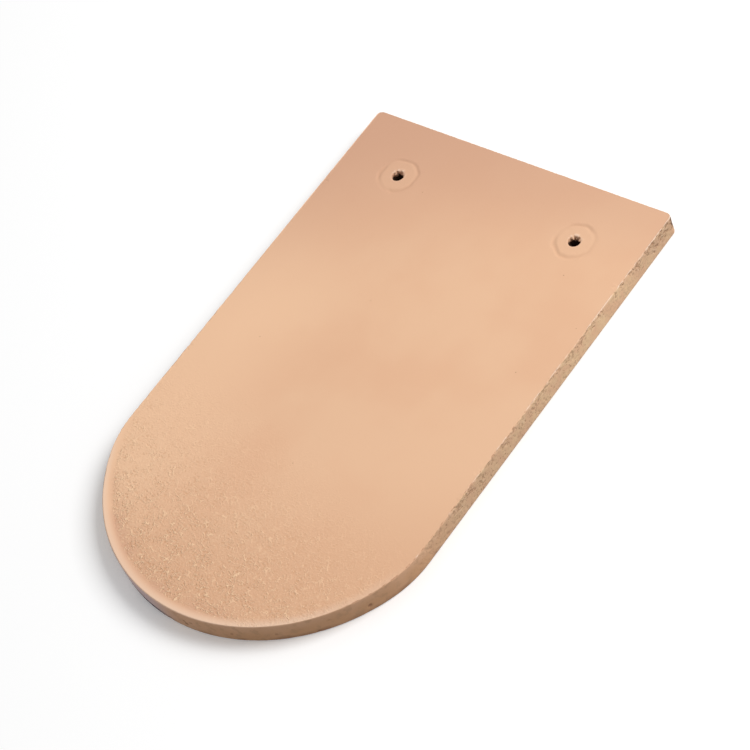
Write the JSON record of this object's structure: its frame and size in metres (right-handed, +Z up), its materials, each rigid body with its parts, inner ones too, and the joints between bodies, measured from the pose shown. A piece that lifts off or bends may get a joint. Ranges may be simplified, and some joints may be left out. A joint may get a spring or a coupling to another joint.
{
  "type": "clay roof tile",
  "caption": "Flat clay roof tile with straight sides, a round tail with a low soft lip, and nail holes near its square head.",
  "frame": {"origin": "under the middle of the tile, at the centre of its bounding box, on the face it lies on", "axes": "+Y along the tile towards the head with the nail holes, +X across the tile, +Z up out of the face that weathers"},
  "size_m": [0.165, 0.265, 0.0108],
  "materials": {
    "fired_clay": "unglazed fired clay, matt, light buff to peach"
  },
  "bodies": {
    "root": {"clay_tile": "fired_clay"}
  },
  "joints": []
}
